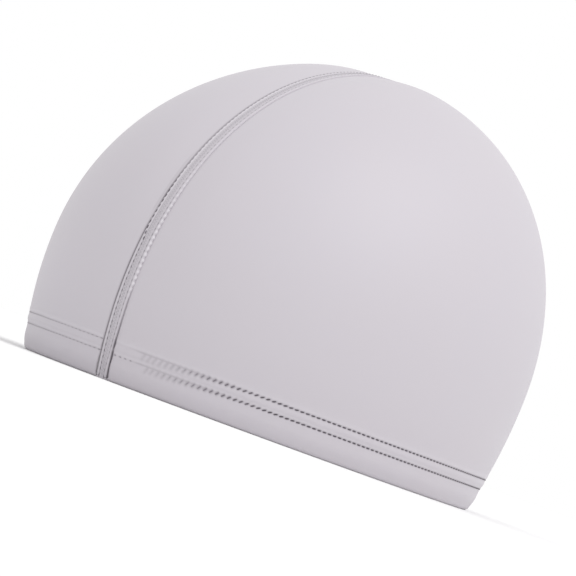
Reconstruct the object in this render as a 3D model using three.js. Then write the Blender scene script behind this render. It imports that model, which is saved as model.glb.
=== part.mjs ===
// A two-panel swim cap of coated stretch cloth, standing on its rim with the opening down.
// Millimetres, +Z up. The wearer would face -Y, and left and right are the wearer's.
// The origin is on the floor, under the middle of the cap's outline.

import * as THREE from 'three';
import { mergeVertices } from 'three/addons/utils/BufferGeometryUtils.js';

// Outside form of the two panels
const openingLength = 196;        // front to back across the rim
const openingWidth = 156;         // side to side across the rim
const widestLength = 208;         // front to back where the cap is fullest
const widestWidth = 166;          // side to side where the cap is fullest
const widestHeight = 43;          // height of the fullest section over the rim
const capHeight = 138;            // rim to the top of the crown
const crownSetback = 18;          // how far the crown's top lies behind the middle of the rim
const setbackPower = 2.2;         // above 1, the crown leans back mostly near its top
const shoulderPower = 2.06;       // 2 is an ellipse, more is a fuller shoulder

// Valley that the seam pulls into the crown
const valleyDepth = 1.3;
const valleyReach = 16;           // sideways from the seam to where the panel is full again
const valleyStart = 24;           // height where the valley begins
const valleyFull = 70;            // height from where it has its whole depth

// Cloth
const clothThickness = 1.1;
const clothGap = 0.3;             // between the hem's two layers and beside the seam

// Hem, folded to the inside
const hemDepth = 19.5;            // rim to the cloth's edge inside
const foldRounding = 0.7;         // radius of the fold's two lower corners

// Flat seam over the crown
const seamWidth = 4.3;
const seamRelief = 0.35;          // how far its threads stand proud of the cloth
const seamShoulder = 0.9;         // width of its two sloping edges

// Fineness of the faces
const panelColumns = 32;
const edgeCrowding = 0.4;         // 0 spaces the columns evenly, 1 crowds them at the seam
const crownRows = 16;
const hemRows = 3;
const foldSteps = 2;

const clothColour = 0xd0ccd3;
const seamColour = 0xbcb7c0;

const foldThickness = 2 * clothThickness + clothGap;
const panelEdge = seamWidth / 2 + clothGap;
const quarterTurn = Math.PI / 2;

// Half of a level section's size, growing from the rim to the fullest section and closing
// over the crown.
function halfSize(height, atRim, atWidest) {
  if (height <= widestHeight) {
    const below = 1 - height / widestHeight;
    return (atWidest - (atWidest - atRim) * below * below) / 2;
  }
  const above = Math.min((height - widestHeight) / (capHeight - widestHeight), 1);
  return (atWidest / 2) * Math.sqrt(1 - above ** shoulderPower);
}

const halfLength = (height) => halfSize(height, openingLength, widestLength);
const halfWidth = (height) => halfSize(height, openingWidth, widestWidth);
const sectionCentre = (height) => crownSetback * (Math.max(height, 0) / capHeight) ** setbackPower;

// Height at which the crown has closed to a given distance from the seam's middle
function topHeight(side) {
  const share = (2 * side) / widestWidth;
  const above = (1 - share * share) ** (1 / shoulderPower);
  return widestHeight + (capHeight - widestHeight) * above;
}

// A course runs over the cap from -2 at the front rim to 2 at the back rim, with 0 at the
// top of the crown and 1 at the height of the hem's edge.
function courseHeight(course, top) {
  const share = Math.abs(course);
  if (share > 1) return hemDepth * (2 - share);
  return hemDepth + (top - hemDepth) * Math.cos(share * quarterTurn);
}

const hemCourse = (end, height) => end * (2 - height / hemDepth);

// Zero on the outside of the cap, positive beyond it
function outsideness(x, y, z) {
  const back = y - sectionCentre(z);
  if (z <= widestHeight) return (x / halfWidth(z)) ** 2 + (back / halfLength(z)) ** 2 - 1;
  const above = (z - widestHeight) / (capHeight - widestHeight);
  return ((2 * x) / widestWidth) ** 2 + ((2 * back) / widestLength) ** 2 - 1 + above ** shoulderPower;
}

// Direction in which the cloth's thickness is measured: square to the outside, and level
// at the rim, so that the fold stands flat.
function outward({ x, y, z }) {
  const step = 0.001;
  const slope = (dx, dy, dz) => outsideness(x + dx, y + dy, z + dz) - outsideness(x - dx, y - dy, z - dz);
  const tilt = THREE.MathUtils.smoothstep(z, clothThickness, hemDepth);
  const normal = new THREE.Vector3(slope(step, 0, 0), slope(0, step, 0), slope(0, 0, step)).normalize();
  return normal.setZ(normal.z * tilt).normalize();
}

// Moves a point of the outside inward by an inset, and by the seam's valley
function pressed(point, inset) {
  const beside = Math.max(Math.abs(point.x) - seamWidth / 2, 0) / valleyReach;
  const depth = valleyDepth * THREE.MathUtils.smoothstep(point.z, valleyStart, valleyFull);
  const valley = depth * Math.exp(-4 * beside * beside);
  return point.clone().addScaledVector(outward(point), -inset - valley);
}

// A rung joins the cloth's coated face to its back at one place of the course. Both ends have
// a height or a course, and an inset from the cap's outside.
const rung = (face, back = face) => ({ face, back });

// Rungs over the crown between two courses, without the ones at the hem's edge
function crownRungs(from, to) {
  const steps = Math.round(Math.abs(to - from) * crownRows);
  const rungs = [];
  for (let k = 0; k <= steps; k += 1) {
    const course = from + ((to - from) * k) / steps;
    if (Math.abs(course) < 1) {
      rungs.push(rung({ course, inset: 0, relief: -1 }, { course, inset: clothThickness, relief: 1 }));
    }
  }
  return rungs;
}

// Rungs of the hem at the front end (-1) or the back end (1) of the course: down the outside,
// round the fold and up the inside, to the cloth's edge.
function hemRungs(end) {
  const at = (height, inset, relief = 0) => ({ course: hemCourse(end, height), inset, relief });
  const innerInset = clothThickness + clothGap;
  const rungs = [];
  for (let k = 0; k < hemRows; k += 1) {
    const share = k / hemRows;
    const face = at(THREE.MathUtils.lerp(hemDepth, foldRounding, share), 0, -1);
    rungs.push(rung(face, at(THREE.MathUtils.lerp(hemDepth, clothThickness, share), clothThickness)));
  }
  const corner = (k, inset, relief) => {
    const angle = (quarterTurn * k) / foldSteps;
    const height = foldRounding * (1 - Math.sin(angle));
    return at(height, inset(foldRounding * (1 - Math.cos(angle))), relief * Math.cos(angle));
  };
  for (let k = 0; k <= foldSteps; k += 1) {
    rungs.push(rung(corner(k, (rounded) => rounded, -1), at(clothThickness, clothThickness)));
  }
  for (let k = foldSteps; k >= 0; k -= 1) {
    rungs.push(rung(corner(k, (rounded) => foldThickness - rounded, 1), at(clothThickness, innerInset)));
  }
  for (let k = 1; k <= hemRows; k += 1) {
    const share = k / hemRows;
    const face = at(THREE.MathUtils.lerp(foldRounding, hemDepth, share), foldThickness, 1);
    rungs.push(rung(face, at(THREE.MathUtils.lerp(clothThickness, hemDepth, share), innerInset)));
  }
  return rungs;
}

// Closed body of cloth: its rungs lie along the course, its columns across it
function clothBody(rungs, columns, place, reversed) {
  const positions = [];
  for (const { face, back } of rungs) {
    for (const column of columns) positions.push(...place(face, column).toArray());
    for (const column of columns) positions.push(...place(back, column).toArray());
  }
  const face = (r, c) => 2 * r * columns.length + c;
  const back = (r, c) => face(r, c) + columns.length;
  const triangles = [];
  const quad = (a, b, c, d) => triangles.push([a, b, c], [a, c, d]);
  const lastRung = rungs.length - 1;
  const lastColumn = columns.length - 1;
  for (let r = 0; r < lastRung; r += 1) {
    for (let c = 0; c < lastColumn; c += 1) {
      quad(face(r, c), face(r, c + 1), face(r + 1, c + 1), face(r + 1, c));
      quad(back(r, c), back(r + 1, c), back(r + 1, c + 1), back(r, c + 1));
    }
    quad(face(r, 0), face(r + 1, 0), back(r + 1, 0), back(r, 0));
    quad(face(r, lastColumn), back(r, lastColumn), back(r + 1, lastColumn), face(r + 1, lastColumn));
  }
  for (let c = 0; c < lastColumn; c += 1) {
    quad(face(0, c), back(0, c), back(0, c + 1), face(0, c + 1));
    quad(face(lastRung, c), face(lastRung, c + 1), back(lastRung, c + 1), back(lastRung, c));
  }
  const geometry = new THREE.BufferGeometry();
  geometry.setAttribute('position', new THREE.Float32BufferAttribute(positions, 3));
  geometry.setIndex(triangles.flatMap(([a, b, c]) => (reversed ? [a, c, b] : [a, b, c])));
  return withoutSlivers(mergeVertices(geometry, 1e-4));
}

// Drops the triangles that closed up where points meet, at the top and in the fold
function withoutSlivers(geometry) {
  const kept = [];
  const index = geometry.getIndex();
  for (let k = 0; k < index.count; k += 3) {
    const corners = [index.getX(k), index.getX(k + 1), index.getX(k + 2)];
    if (new Set(corners).size === 3) kept.push(...corners);
  }
  geometry.setIndex(kept);
  geometry.computeVertexNormals();
  return geometry;
}

// One panel, from its front seam edge round the side to its back seam edge
function panelGeometry(side) {
  const rungs = [...crownRungs(0, -1), ...hemRungs(-1)];
  const columns = [];
  for (let k = 0; k <= panelColumns; k += 1) {
    const share = k / panelColumns;
    columns.push(THREE.MathUtils.lerp(share, (1 - Math.cos(Math.PI * share)) / 2, edgeCrowding));
  }
  const top = topHeight(panelEdge);
  const place = ({ course, inset }, turn) => {
    const height = courseHeight(course, top);
    const start = Math.asin(Math.min(panelEdge / halfWidth(height), 1));
    const angle = THREE.MathUtils.lerp(start, Math.PI - start, turn);
    const x = side * halfWidth(height) * Math.sin(angle);
    const y = sectionCentre(height) - halfLength(height) * Math.cos(angle);
    return pressed(new THREE.Vector3(x, y, height), inset);
  };
  return clothBody(rungs, columns, place, side > 0);
}

// The flat seam, from the front hem over the crown to the back hem
function seamGeometry() {
  const rungs = [...hemRungs(-1).reverse(), ...crownRungs(-1, 1), ...hemRungs(1)];
  const edge = seamWidth / 2;
  const flat = edge - seamShoulder;
  const place = ({ course, inset, relief }, side) => {
    const height = courseHeight(course, topHeight(side));
    const across = side / Math.max(halfWidth(height), Math.abs(side));
    const back = Math.sign(course) * halfLength(height) * Math.sqrt(1 - across * across);
    const proud = Math.abs(side) < edge ? relief * seamRelief : 0;
    return pressed(new THREE.Vector3(side, sectionCentre(height) + back, height), inset + proud);
  };
  return clothBody(rungs, [-edge, -flat, flat, edge], place, false);
}

function piece(name, geometry, color, roughness) {
  const material = new THREE.MeshStandardMaterial({ color, roughness, metalness: 0 });
  const mesh = new THREE.Mesh(geometry, material);
  mesh.name = name;
  return mesh;
}

const cap = new THREE.Group();
cap.add(piece('panel_left', panelGeometry(1), clothColour, 0.5));
cap.add(piece('panel_right', panelGeometry(-1), clothColour, 0.5));
cap.add(piece('crown_seam', seamGeometry(), seamColour, 0.7));

// The crown leans back, so the outline's middle lies behind the rim's middle
const outline = new THREE.Box3().setFromObject(cap);
cap.position.y = -(outline.min.y + outline.max.y) / 2;

export default cap;
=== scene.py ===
# Sews and dresses a two-panel swim cap of coated stretch cloth, standing on its rim.
# Metres, +Z up. The wearer would face -Y, and left and right are the wearer's.

import math

import bmesh
import bpy
import numpy as np
from mathutils import Matrix, Vector


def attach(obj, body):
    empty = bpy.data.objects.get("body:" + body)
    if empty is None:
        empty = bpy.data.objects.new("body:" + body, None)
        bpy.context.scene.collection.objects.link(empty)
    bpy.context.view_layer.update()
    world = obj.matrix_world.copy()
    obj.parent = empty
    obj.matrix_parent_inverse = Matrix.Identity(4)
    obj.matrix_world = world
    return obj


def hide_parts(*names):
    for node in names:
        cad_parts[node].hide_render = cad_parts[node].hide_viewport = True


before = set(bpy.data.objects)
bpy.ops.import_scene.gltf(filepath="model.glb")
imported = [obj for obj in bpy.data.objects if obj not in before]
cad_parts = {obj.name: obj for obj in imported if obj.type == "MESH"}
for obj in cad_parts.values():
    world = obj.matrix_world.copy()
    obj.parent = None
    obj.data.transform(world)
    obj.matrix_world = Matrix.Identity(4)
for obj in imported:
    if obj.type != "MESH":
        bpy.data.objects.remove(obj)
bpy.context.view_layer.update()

bl_info = {
    "name": "Swim Cap",
    "version": (1, 0, 0),
    "blender": (4, 5, 0),
    "location": "View3D > Sidebar > Swim Cap",
    "description": "Sews a two-panel swim cap with a flat seam and a twin-needle hem",
    "category": "Add Mesh",
}

ROOT_BODY = "root"
MILLIMETRE = 0.001
FOLD_STEPS = 12
UPPER_HEM_ROWS = 3
LOWER_HEM_ROWS = 7
STITCH_COLUMNS = 6
LOOPER_STEPS = 8
COVER_STEPS = 12
# Distance within which points of a mesh are one
CLOSE = 2e-7
# Small move by which a direction on the cloth is measured
NUDGE = 1e-4
SEAM_COLUMNS = (
    0, 0.35, 0.7, 0.9, 1.0, 1.1, 1.25, 1.4, 1.55, 1.75, 1.95, 2.1, 2.2, 2.3, 2.42, 2.58, 2.75, 2.95, 3.15
)


# Kinds of setting

def length(name, description, default):
    return bpy.props.FloatProperty(
        name=name, description=description, default=default, subtype="DISTANCE", unit="LENGTH", precision=5
    )


def span(name, description, low, high):
    return bpy.props.FloatVectorProperty(
        name=name, description=description, default=(low, high), size=2, unit="LENGTH", precision=5
    )


def pair(name, description, first, second):
    return bpy.props.FloatVectorProperty(name=name, description=description, default=(first, second), size=2)


def share(name, description, default):
    return bpy.props.FloatProperty(
        name=name, description=description, default=default, min=0.0, max=1.0, subtype="FACTOR"
    )


def amount(name, description, default):
    return bpy.props.FloatProperty(name=name, description=description, default=default, min=0.0)


def count(name, description, default):
    return bpy.props.IntProperty(name=name, description=description, default=default, min=1)


def colour(name, description, default):
    return bpy.props.FloatVectorProperty(
        name=name, description=description, default=default, size=3, min=0.0, max=1.0, subtype="COLOR"
    )


def angle(name, description, default):
    return bpy.props.FloatProperty(
        name=name, description=description, default=math.radians(default), subtype="ANGLE", unit="ROTATION"
    )


class SwimCapForm(bpy.types.PropertyGroup):
    """Outside form of the two panels"""

    opening_length: length("Opening length", "Front to back across the rim", 0.196)
    opening_width: length("Opening width", "Side to side across the rim", 0.156)
    widest_length: length("Widest length", "Front to back where the cap is fullest", 0.208)
    widest_width: length("Widest width", "Side to side where the cap is fullest", 0.166)
    widest_height: length("Widest height", "Height of the fullest section over the rim", 0.043)
    cap_height: length("Cap height", "Rim to the top of the crown", 0.138)
    crown_setback: length("Crown setback", "How far the top lies behind the rim's middle", 0.018)
    setback_power: amount("Setback power", "Above 1, the crown leans back mostly near its top", 2.2)
    shoulder_power: amount("Shoulder power", "2 is an ellipse, more is a fuller shoulder", 2.06)
    valley_depth: length("Valley depth", "How far the seam pulls the crown in", 0.0013)
    valley_reach: length("Valley reach", "Sideways from the seam to the full panel", 0.016)
    valley_rise: span("Valley rise", "Heights over which it gains its whole depth", 0.024, 0.07)


class SwimCapCloth(bpy.types.PropertyGroup):
    """Cloth and hem"""

    thickness: length("Cloth thickness", "Coated cloth with its knitted back", 0.0011)
    gap: length("Cloth gap", "Between the hem's layers and beside the seam", 0.0003)
    hem_depth: length("Hem depth", "Rim to the cloth's edge inside", 0.0195)
    fold_rounding: length("Fold rounding", "Radius of the fold's lower corners", 0.0011)
    hem_twist: length("Hem twist", "How far the inner layer has crept round when it was sewn", 0.0026)
    hem_puff: length("Hem puff", "How far the hem swells between rim and stitches", 0.00035)
    puff_shares: pair("Puff shares", "How much of it swells between the rows, and over them", 0.6, 0.35)
    puff_over: length("Puff over", "From the upper row to that last swelling", 0.0011)
    puff_over_width: length("Puff over width", "How wide it is", 0.0008)
    edge_roll: length("Edge roll", "How deep a panel's edge turns in at the seam", 0.00032)
    edge_roll_width: length("Edge roll width", "How wide that turned edge is", 0.0005)
    crown_rows: count("Crown rows", "Rows of faces from the top to the hem", 72)
    stitch_rows: count("Stitch rows", "Rows of faces across the hem's two rows of stitches", 40)
    inner_rows: count("Inner rows", "Rows of faces on the hem's inner layer", 14)
    fine_over: length("Fine over", "Reach of the stitch rows' faces over the upper row", 0.0025)
    fine_under: length("Fine under", "Their reach under the lower row", 0.0036)


class SwimCapSeam(bpy.types.PropertyGroup):
    """Flat seam over the crown. Left and right are the wearer's, and a rise or a fade is over heights"""

    width: length("Seam width", "Between the seam's two sides", 0.0043)
    line: length("Seam line", "From the seam's middle to its stitches", 0.0010)
    line_drift: length("Line drift", "How far the left stitches move out above the rim", 0.0004)
    drift_rise: span("Drift rise", "Where they move out", 0.003, 0.012)
    relief: length("Seam relief", "How far its two ridges stand proud", 0.00034)
    right_ridge: share("Right ridge", "Share of it that the right ridge has", 0.6)
    middle: share("Middle", "Share of it that the flat middle has", 0.45)
    groove: share("Groove", "Share of it by which the middle dips at the stitches", 0.25)
    groove_width: length("Groove width", "How wide that dip is", 0.00025)
    flat_rise: span("Flat rise", "Where the relief lessens", 0.055, 0.085)
    flat_share: share("Flat share", "What is left of it", 0.55)
    end: length("Seam end", "Height over the rim where the ridges are rounded off", 0.0006)
    end_ring: pair("End ring", "Place and width of the dark ring round that end, in half ridges", 1.05, 0.25)
    sink: length("Flange sink", "How deep its flanges lie under the panels' edges", 0.00062)
    spread: length("Ridge spread", "How far the left ridge creeps over the panel's edge", 0.00035)
    spread_rise: span("Spread rise", "Where it creeps over the edge", 0.008, 0.026)
    puff_swell: length("Puff swell", "How far each stitch puffs the left ridge out", 0.00035)
    puff_lift: pair("Puff lift", "How much it raises the ridge, between the stitches and at them", -0.2, 0.4)
    puff_rise: span("Puff rise", "Where the left ridge begins to puff", 0.026, 0.034)
    puff_fade: span("Puff fade", "Where the puffs weaken", 0.048, 0.085)
    puff_rest: share("Puff rest", "What is left of them", 0.2)
    # Painted highlight: a paler coating colour on each puff, just inside the ridge's outer edge
    puff_highlight: share("Puff highlight", "How pale a puff is", 0.85)
    puff_highlight_width: length("Highlight width", "Width of a puff's pale part", 0.00035)
    # Where the right stitches cross to the crease, its painted shade breaks into dots
    bead_rise: span("Bead rise", "Where the right stitches cross to the crease, as dots", 0.047, 0.055)
    bead_fade: span("Bead fade", "Where the dots leave the crease", 0.064, 0.078)
    bead_pale: span("Bead paling", "Where their threads turn pale", 0.068, 0.078)
    bead_depth: pair("Bead depth", "How much the crease pales between stitches, low and high", 0.12, 0.72)
    bead_shift: length("Bead shift", "How far they cross", 0.00095)
    calm_rise: span("Calm rise", "Where the stitched lines turn faint", 0.045, 0.085)
    calm_rest: share("Calm rest", "What is left of them", 0.3)
    # Painted shade along the seam's stitched lines and round its end; the flat middle is made a little
    # darker
    line_dark: pair("Line darkness", "Of the left and the right stitched line", 0.42, 0.52)
    line_width: length("Line width", "Width of those lines", 0.00014)
    middle_dark: share("Middle darkness", "Of the flat middle", 0.08)
    end_dark: share("End darkness", "Of the ring round the seam's end", 0.7)
    # Painted shade in the creases along the seam's ridges, on the seam and on the panels' edges
    crease_out: length("Crease out", "From a ridge's outer edge to the crease", 0.00015)
    crease_width: length("Crease width", "Width of that crease on the seam", 0.00026)
    edge_crease_width: length("Edge crease width", "Its width on the panel's edge", 0.00032)
    left_crease: share("Left crease", "How dark the left crease is beside the hem", 0.95)
    left_fade: share("Left fade", "How much it pales over the hem, and again at the puffs", 0.45)
    hem_fade: length("Hem fade", "Height over the upper row where it has paled", 0.003)
    crease_gap: pair("Crease gap", "Place over the lower row and width of its pale gap", 0.0016, 0.0005)
    right_rest: share("Right rest", "What is left of the right crease over the dots", 0.55)
    # Painted highlight along the right ridge, from these heights up
    highlight_rise: span("Highlight rise", "Where the right ridge is drawn tight", 0.055, 0.08)
    highlight_share: share("Highlight share", "How pale it is there", 0.35)
    highlight_round: share("Highlight round", "How much of the ridge is pale", 0.7)
    # A faint line of painted shade on the right panel, near its edge
    side_line: length("Side line", "From the right panel's edge to a faint line", 0.0011)
    side_width: length("Side line width", "Width of that line", 0.00025)
    side_dark: share("Side line darkness", "How dark it is", 0.16)
    side_rise: span("Side line rise", "Where it begins", 0.056, 0.062)
    side_fade: span("Side line fade", "Where it ends", 0.078, 0.086)
    rib: length("Inner rib", "How far the seam stands proud inside", 0.00022)
    rib_wave: length("Rib wave", "How far its ribs rise and fall there", 0.0001)
    rib_pitch: length("Rib pitch", "One of those ribs to the next", 0.00135)
    rib_start: length("Rib start", "Height over the hem where they are full", 0.0015)
    rib_sink: length("Rib sink", "How far its flanges lie back inside", 0.0004)
    inner_dark: share("Inner darkness", "Of the seam's inside", 0.35)


class SwimCapStitching(bpy.types.PropertyGroup):
    """Stitches of the hem and of the seam. Runs along the rim count from the seam's middle"""

    pitch: length("Stitch pitch", "One stitch to the next", 0.0021)
    lower_row: length("Lower row", "Height of the lower row of the hem", 0.00885)
    upper_row: length("Upper row", "Height of the upper row of the hem", 0.01265)
    stitch_length: length("Stitch length", "Thread that shows between two holes", 0.0017)
    short_length: length("Short length", "The same on the right panel, where it is pulled tight", 0.00135)
    stitch_width: length("Stitch width", "Width of the hem's thread", 0.00058)
    stitch_height: length("Stitch height", "How thick it is", 0.0003)
    stitch_bow: length("Stitch bow", "How far its middle stands over its ends", 0.0001)
    stitch_sink: length("Stitch sink", "How deep it lies in the cloth", 0.0001)
    pale_sink: length("Pale sink", "How much deeper a pale slanted stitch lies", 0.00018)
    pale_range: pair("Pale range", "Darkness up to which it lies so, and where it has come up", 0.25, 0.8)
    thread_share: pair("Thread share", "Share of its width that shows, pale and dark", 0.35, 0.7)
    shown_share: share("Shown share", "Share of its length that shows as thread", 0.85)
    seam_stitch_width: length("Seam stitch width", "Width of the seam's thread", 0.00045)
    seam_stitch_flat: share("Seam stitch flatness", "Share of its width that is its thickness", 0.6)
    seam_bow: length("Seam bow", "How far its middle stands over its ends", 0.00008)
    # Darkness of the seam's stitches: painted light and shade on one thread colour
    seam_dark: share("Seam darkness", "Of the left stitches near the rim", 0.65)
    seam_rest: share("Seam rest", "What is left of it higher up", 0.2)
    bead_dark: pair("Bead darkness", "Of the right stitches, in their line and as dots", 0.85, 0.9)
    bead_rest: share("Bead rest", "What is left of it over the dots", 0.35)
    looper_width: length("Looper width", "Width of the threads that cross inside", 0.0003)
    looper_over: length("Looper over", "How far they lie over the rows' middle", 0.0008)
    looper_lift: length("Looper lift", "How far they stand off the cloth", 0.0001)
    looper_wave: length("Looper wave", "How far they rise and fall", 0.00012)
    # Darkness of the looper and cover threads: painted light and shade on one thread colour
    looper_dark: share("Looper darkness", "How dark they are", 0.8)
    looper_end: share("Looper end", "Share of the turn that stays free beside the seam", 0.004)
    cover_reach: share("Cover reach", "Share of the way to the stitches that the cover threads take", 0.8)
    cover_width: length("Cover width", "Width of the cover threads outside", 0.00013)
    cover_sink: length("Cover sink", "How deep they lie in the cloth", 0.00002)
    inner_cover_width: length("Inner cover width", "Width of the cover threads inside", 0.0003)
    inner_cover_lift: length("Inner cover lift", "How far they stand off the cloth", 0.00034)
    cover_dark: share("Cover darkness", "How dark they are", 0.05)
    cover_end: amount("Cover end", "Course where they end, and 2 is the rim", 1.93)
    corner: share("Corner", "How sharply a crossing thread turns at its corners", 0.98)
    looper_corner: share("Looper corner", "The same for the threads inside the hem", 0.985)
    dimple_depth: length("Dimple depth", "How far a stitch pulls the cloth in", 0.00024)
    # Painted shade in the cloth round each stitch, as a share of the stitch's darkness
    dimple_dark: share("Dimple darkness", "How much of a stitch's darkness is in the cloth", 0.9)
    slant: angle("Slant", "How far the stitches turn beside the seam on the left panel", 68.0)
    slant_fade: span("Slant fade", "Run where they turn back until they lie level", 0.010, 0.088)
    rise: length("Rise", "How far a slanted stitch reaches over its row", 0.0004)
    long_length: length("Long length", "Length of the most slanted stitches", 0.0032)
    long_fade: span("Long fade", "Run where they shorten to their plain length", 0.014, 0.045)
    wide_width: length("Wide width", "Width of the most slanted stitches", 0.0012)
    wide_fade: span("Wide fade", "Run where they narrow to their plain width", 0.035, 0.055)
    # The darkness of the hem's stitches, here and below, is painted shade on their thread and in the cloth
    # round them
    left_dark: pair("Left darkness", "Of the left panel's stitches, near the seam and far from it", 0.2, 1.0)
    left_rise: span("Left rise", "Run where they darken", 0.013, 0.063)
    right_dark: pair("Right darkness", "Of the right panel's stitches, near and far", 0.22, 0.62)
    right_width: pair("Right width", "Share of the width that they have, near and far", 0.6, 0.9)
    right_rise: span("Right rise", "Run where they darken and widen", 0.05, 0.13)
    first_upper: length("First upper", "Run of the upper row's first slanted stitch", 0.0125)
    first_lower: length("First lower", "Run of the lower row's first slanted stitch", 0.0155)
    last_dot: length("Last dot", "Run of the last sunk stitch before them in the lower row", 0.0105)
    dot_length: length("Dot length", "Thread of a sunk stitch that shows", 0.0009)
    dot_width: share("Dot width", "Share of the plain width that it has", 0.8)
    dot_dark: pair("Dot darkness", "Of the sunk stitches, at the seam and at the last one", 0.5, 0.2)
    row_width: length("Row width", "Width of the line that a whole row draws in the cloth", 0.00028)
    left_row: pair("Left row", "How deep and how dark it is on the left panel", 0.5, 0.22)
    left_row_rise: span("Left row rise", "Run where it begins", 0.008, 0.014)
    left_row_fade: span("Left row fade", "Run where it weakens", 0.03, 0.045)
    left_row_rest: share("Left row rest", "What is left of it", 0.4)
    right_row: share("Right row", "How deep it is on the right panel", 0.25)
    right_row_dark: pair("Right row darkness", "How dark it is there, near and far", 0.14, 0.26)
    right_row_rise: span("Right row rise", "Run where it darkens", 0.02, 0.04)
    # Painted highlight on a thin ridge over each hem row
    ridge_over: length("Ridge over", "From a row to the tight ridge over it", 0.0008)
    ridge_width: length("Ridge width", "Width of that ridge", 0.0004)
    ridge_highlight: share("Ridge highlight", "How pale it is", 0.22)


class SwimCapFinish(bpy.types.PropertyGroup):
    """Colours and gloss"""

    coating: colour("Coating", "Pale lilac-grey coated face", (0.514, 0.488, 0.529))
    coating_warm: colour("Warm coating", "Slightly warmer patches of it", (0.520, 0.488, 0.522))
    # Painted highlight: a paler coating colour on the ridges over the hem's rows, on the seam's puffs and
    # along its right ridge
    painted_highlight_colour: colour("Highlighted coating", "Where it is drawn tight over a ridge", (0.70, 0.675, 0.71))
    patch: length("Patch", "Size of those patches", 0.045)
    coating_roughness: share("Coating roughness", "Satin, not glossy", 0.5)
    coating_grain: length("Coating grain", "Size of its fine grain", 0.0004)
    coating_rib: length("Coating rib", "Knit that shows faintly under it", 0.0006)
    knit: colour("Knitted back", "White back of the cloth", (0.70, 0.715, 0.70))
    # Painted shade in the knit's hollows, between the wales
    knit_shade: colour("Knitted back in its hollows", "Between the wales", (0.60, 0.615, 0.60))
    knit_wale: length("Wale", "Width of a column of the back's loops", 0.00075)
    knit_fuzz: length("Fuzz", "Size of its fuzz", 0.0006)
    # Dark colour that painted shade mixes into the coating: in the creases beside the seam, at the stitches
    # and along stitched lines. It also darkens the seam's flat middle and its inside.
    crease: colour("Crease", "Deep creases along the seam", (0.115, 0.100, 0.118))
    # A thread's darkness mixes it from the pale colour to the full grey: painted light and shade on one
    # thread colour
    thread: colour("Thread", "Grey thread in full", (0.105, 0.092, 0.108))
    thread_pale: colour("Pale thread", "The same thread where it sinks in the cloth", (0.43, 0.405, 0.44))
    thread_ply: length("Ply", "Turn of the thread's two plies", 0.00042)
    floor: colour("Floor", "Plain pale floor", (0.84, 0.84, 0.84))


class SwimCapStage(bpy.types.PropertyGroup):
    """Floor, light and camera"""

    floor_radius: length("Floor radius", "Reach of the plain floor", 6.0)
    sky: amount("Sky", "Strength of the even white light", 1.0)
    sun: amount("Sun", "Strength of the soft light from the upper right", 1.0)
    sun_size: angle("Sun size", "Softness of that light", 45.0)
    sun_azimuth: angle("Sun azimuth", "Round from the front of the cap", 94.0)
    sun_elevation: angle("Sun elevation", "Over the floor", 56.0)
    fill: amount("Fill", "Strength of the low light from the front", 0.16)
    fill_size: angle("Fill size", "Softness of that light", 60.0)
    fill_azimuth: angle("Fill azimuth", "Round from the front of the cap", 45.0)
    fill_elevation: angle("Fill elevation", "Over the floor", 8.0)
    azimuth: angle("Camera azimuth", "Round from the front of the cap", 32.2)
    distance: length("Camera distance", "From the cap's upright axis", 1.184)
    camera_height: length("Camera height", "Just over the floor", 0.012)
    aim_side: length("Aim side", "Aim point to the right of the axis", -0.0045)
    aim_height: length("Aim height", "Aim point over the floor", 0.0527)
    roll: angle("Camera roll", "How far the camera is tipped to one side", 20.3)
    lens: bpy.props.FloatProperty(
        name="Lens", description="Focal length", default=206.4, subtype="DISTANCE_CAMERA", unit="CAMERA"
    )


class SwimCapSettings(bpy.types.PropertyGroup):
    """Everything that a user would change"""

    form: bpy.props.PointerProperty(type=SwimCapForm)
    cloth: bpy.props.PointerProperty(type=SwimCapCloth)
    seam: bpy.props.PointerProperty(type=SwimCapSeam)
    stitching: bpy.props.PointerProperty(type=SwimCapStitching)
    finish: bpy.props.PointerProperty(type=SwimCapFinish)
    stage: bpy.props.PointerProperty(type=SwimCapStage)


# Form of the cap

def smoothstep(value, low, high):
    part = np.clip((value - low) / (high - low), 0, 1)
    return part * part * (3 - 2 * part)


def fading(value, low, high):
    return 1 - smoothstep(value, low, high)


def bell(value, middle, width):
    return np.exp(-(((value - middle) / width) ** 2))


def between(first, second, part):
    return first + (second - first) * part


def run_along(points):
    """Length of the way from the first point to each point, along the first axis"""
    steps = np.linalg.norm(np.diff(points, axis=0), axis=-1)
    return np.concatenate([np.zeros((1, *steps.shape[1:])), np.cumsum(steps, axis=0)])


def zigzag(turns, corner):
    """A wave of straight ways between -1 and 1, sharper at its turns as corner nears 1"""
    return 2 / np.pi * np.arcsin(corner * np.sin(2 * np.pi * turns))


def unit(vectors):
    return vectors / np.linalg.norm(vectors, axis=-1, keepdims=True)


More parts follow.
